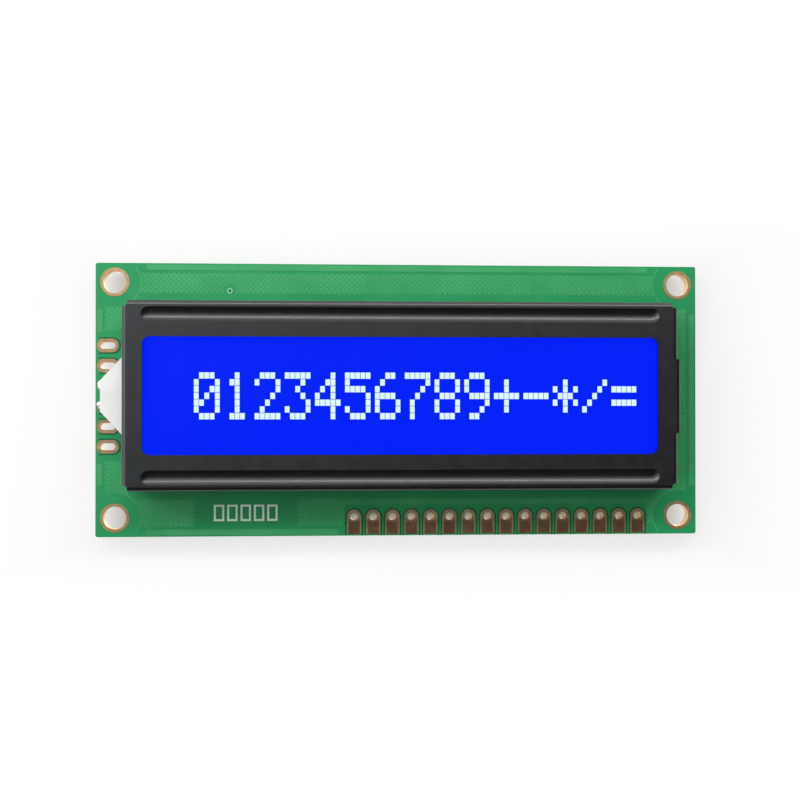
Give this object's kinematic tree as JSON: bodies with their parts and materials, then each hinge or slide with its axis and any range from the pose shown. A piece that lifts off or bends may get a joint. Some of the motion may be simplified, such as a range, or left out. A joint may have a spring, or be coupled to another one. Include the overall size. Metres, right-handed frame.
{
  "type": "character lcd module",
  "caption": "Character display module: green circuit board with a contact row and mounting holes, and a folded black bezel that holds a backlit blue liquid crystal cell.",
  "frame": {"origin": "centre of the four mounting holes, on the back face of the circuit board", "axes": "+X along the board to the right of the characters, +Y towards the top of the characters, +Z out of the display"},
  "size_m": [0.08, 0.036, 0.0102],
  "materials": {
    "solder_mask_board": "glossy green solder mask over glass epoxy",
    "black_steel": "semi-matt black coating",
    "polarizer_film": "clear grey film",
    "cell_glass": "polished",
    "cell_seal": "matt adhesive",
    "lit_liquid_crystal": "blue, lit from behind",
    "strip_rubber": "matt, layered",
    "white_film": "matt white film",
    "clear_acrylic": "clear, polished",
    "white_plastic": "satin white moulding",
    "light_source": "pale encapsulant",
    "tinned_wire": "tinned",
    "solder": "bright solder",
    "black_epoxy": "satin black epoxy",
    "silicon": "polished",
    "gold_plating": "thin gold plating over copper",
    "chip_body": "black glaze, tinned ends",
    "legend_ink": "pale printed ink",
    "lit_dots": "pale, lit from behind"
  },
  "bodies": {
    "root": {"pcb": "solder_mask_board", "bezel": "black_steel", "front_polarizer": "polarizer_film", "rear_polarizer": "polarizer_film", "front_glass": "cell_glass", "rear_glass": "cell_glass", "glass_seal": "cell_seal", "liquid_crystal": "lit_liquid_crystal", "elastomer_strip_upper": "strip_rubber", "elastomer_strip_lower": "strip_rubber", "diffuser_film": "white_film", "reflector_film": "white_film", "light_guide": "clear_acrylic", "backlight_housing": "white_plastic", "backlight_led": "light_source", "anode_lead": "tinned_wire", "cathode_lead": "tinned_wire", "backlight_solder": "solder", "resistor_solder": "solder", "epoxy_blob": "black_epoxy", "controller_die": "silicon", "die_pad": "gold_plating", "strip_fingers": "gold_plating", "edge_slot_plating": "gold_plating", "tab_pads": "gold_plating", "jumper_pads": "gold_plating", "resistor_pads": "gold_plating", "corner_plating_1": "gold_plating", "corner_plating_2": "gold_plating", "corner_plating_3": "gold_plating", "corner_plating_4": "gold_plating", "contact_1": "gold_plating", "contact_2": "gold_plating", "contact_3": "gold_plating", "contact_4": "gold_plating", "contact_5": "gold_plating", "contact_6": "gold_plating", "contact_7": "gold_plating", "contact_8": "gold_plating", "contact_9": "gold_plating", "contact_10": "gold_plating", "contact_11": "gold_plating", "contact_12": "gold_plating", "contact_13": "gold_plating", "contact_14": "gold_plating", "contact_15": "gold_plating", "contact_16": "gold_plating", "resistor_1": "chip_body", "resistor_2": "chip_body", "resistor_3": "chip_body", "resistor_4": "chip_body", "resistor_5": "chip_body", "resistor_6": "chip_body", "resistor_7": "chip_body"}
  },
  "joints": []
}
